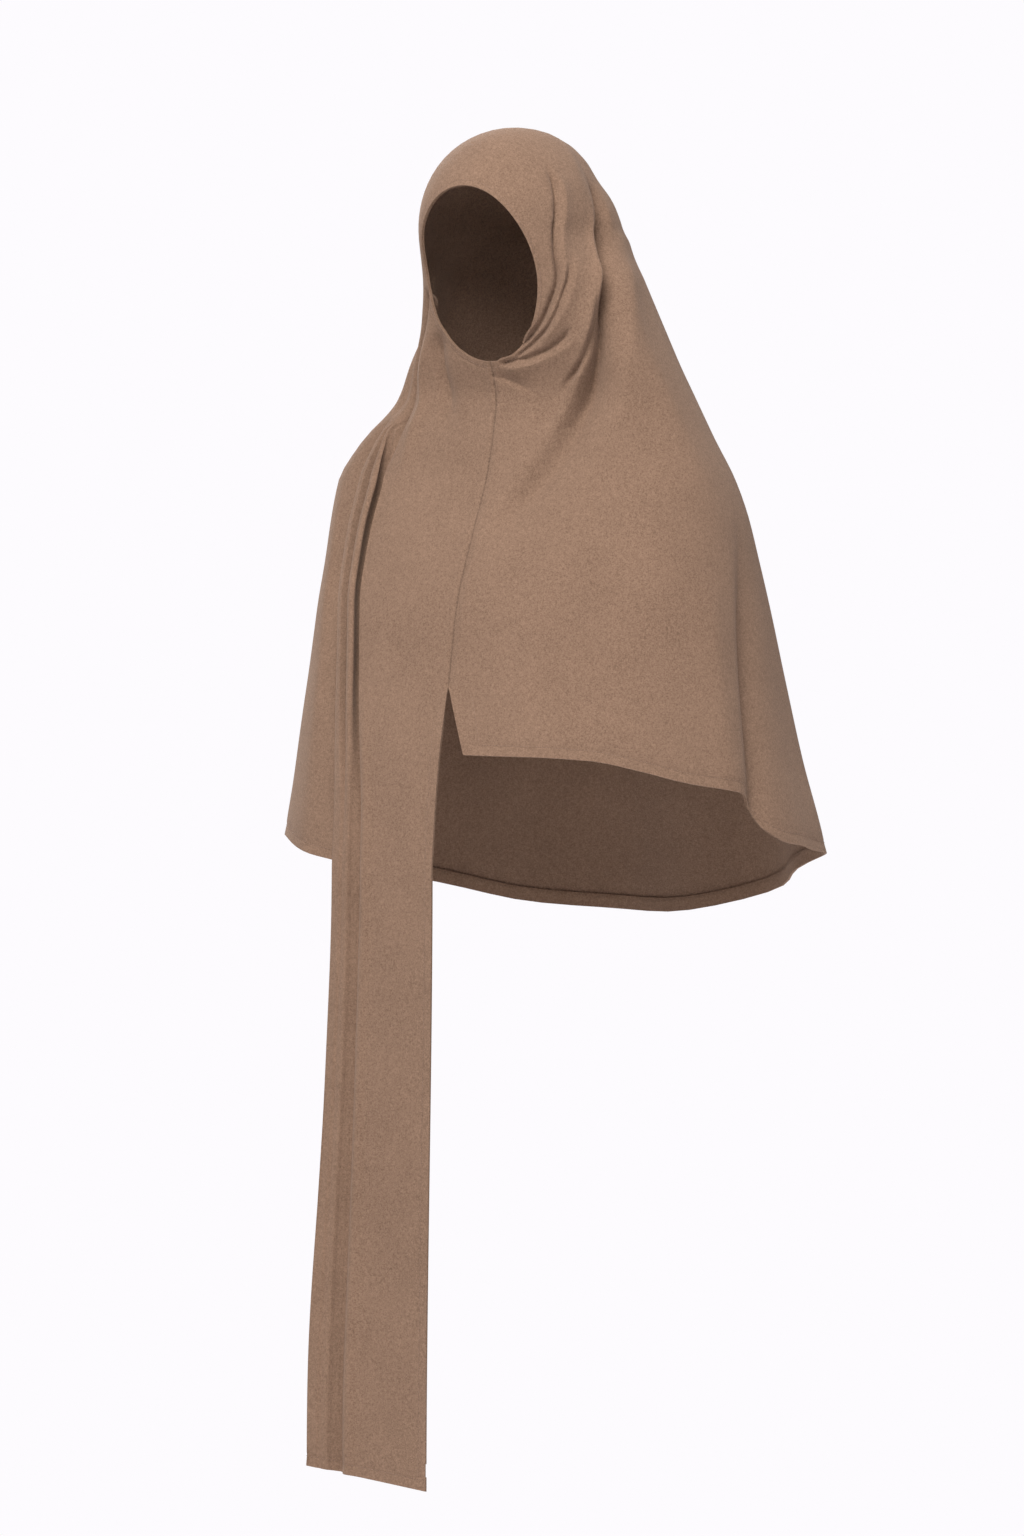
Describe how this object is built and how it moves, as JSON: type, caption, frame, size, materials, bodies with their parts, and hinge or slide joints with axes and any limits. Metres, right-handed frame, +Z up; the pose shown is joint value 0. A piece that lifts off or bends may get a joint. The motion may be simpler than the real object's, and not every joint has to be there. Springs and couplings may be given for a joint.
{
  "type": "jersey hijab",
  "caption": "Slip-on jersey khimar hijab in taupe: hood with an oval face opening, centre-front seam, slit, waist-length cape and one long front panel.",
  "frame": {"origin": "inside the crown, where the top of the wearer's head meets the cloth", "axes": "+Z up along the wearer's head and body, -Y the way the wearer faces, +X to the wearer's left"},
  "size_m": [0.5764, 0.4381, 1.3574],
  "materials": {
    "jersey": "matte brushed viscose jersey",
    "turned_hem": "matte jersey, turned in and stitched"
  },
  "bodies": {
    "root": {"veil": "jersey", "face_hem": "turned_hem", "cape_hem": "turned_hem", "panel_hem": "turned_hem", "edge_hem": "turned_hem", "slit_hem_long": "turned_hem", "slit_hem_short": "turned_hem"}
  },
  "joints": []
}
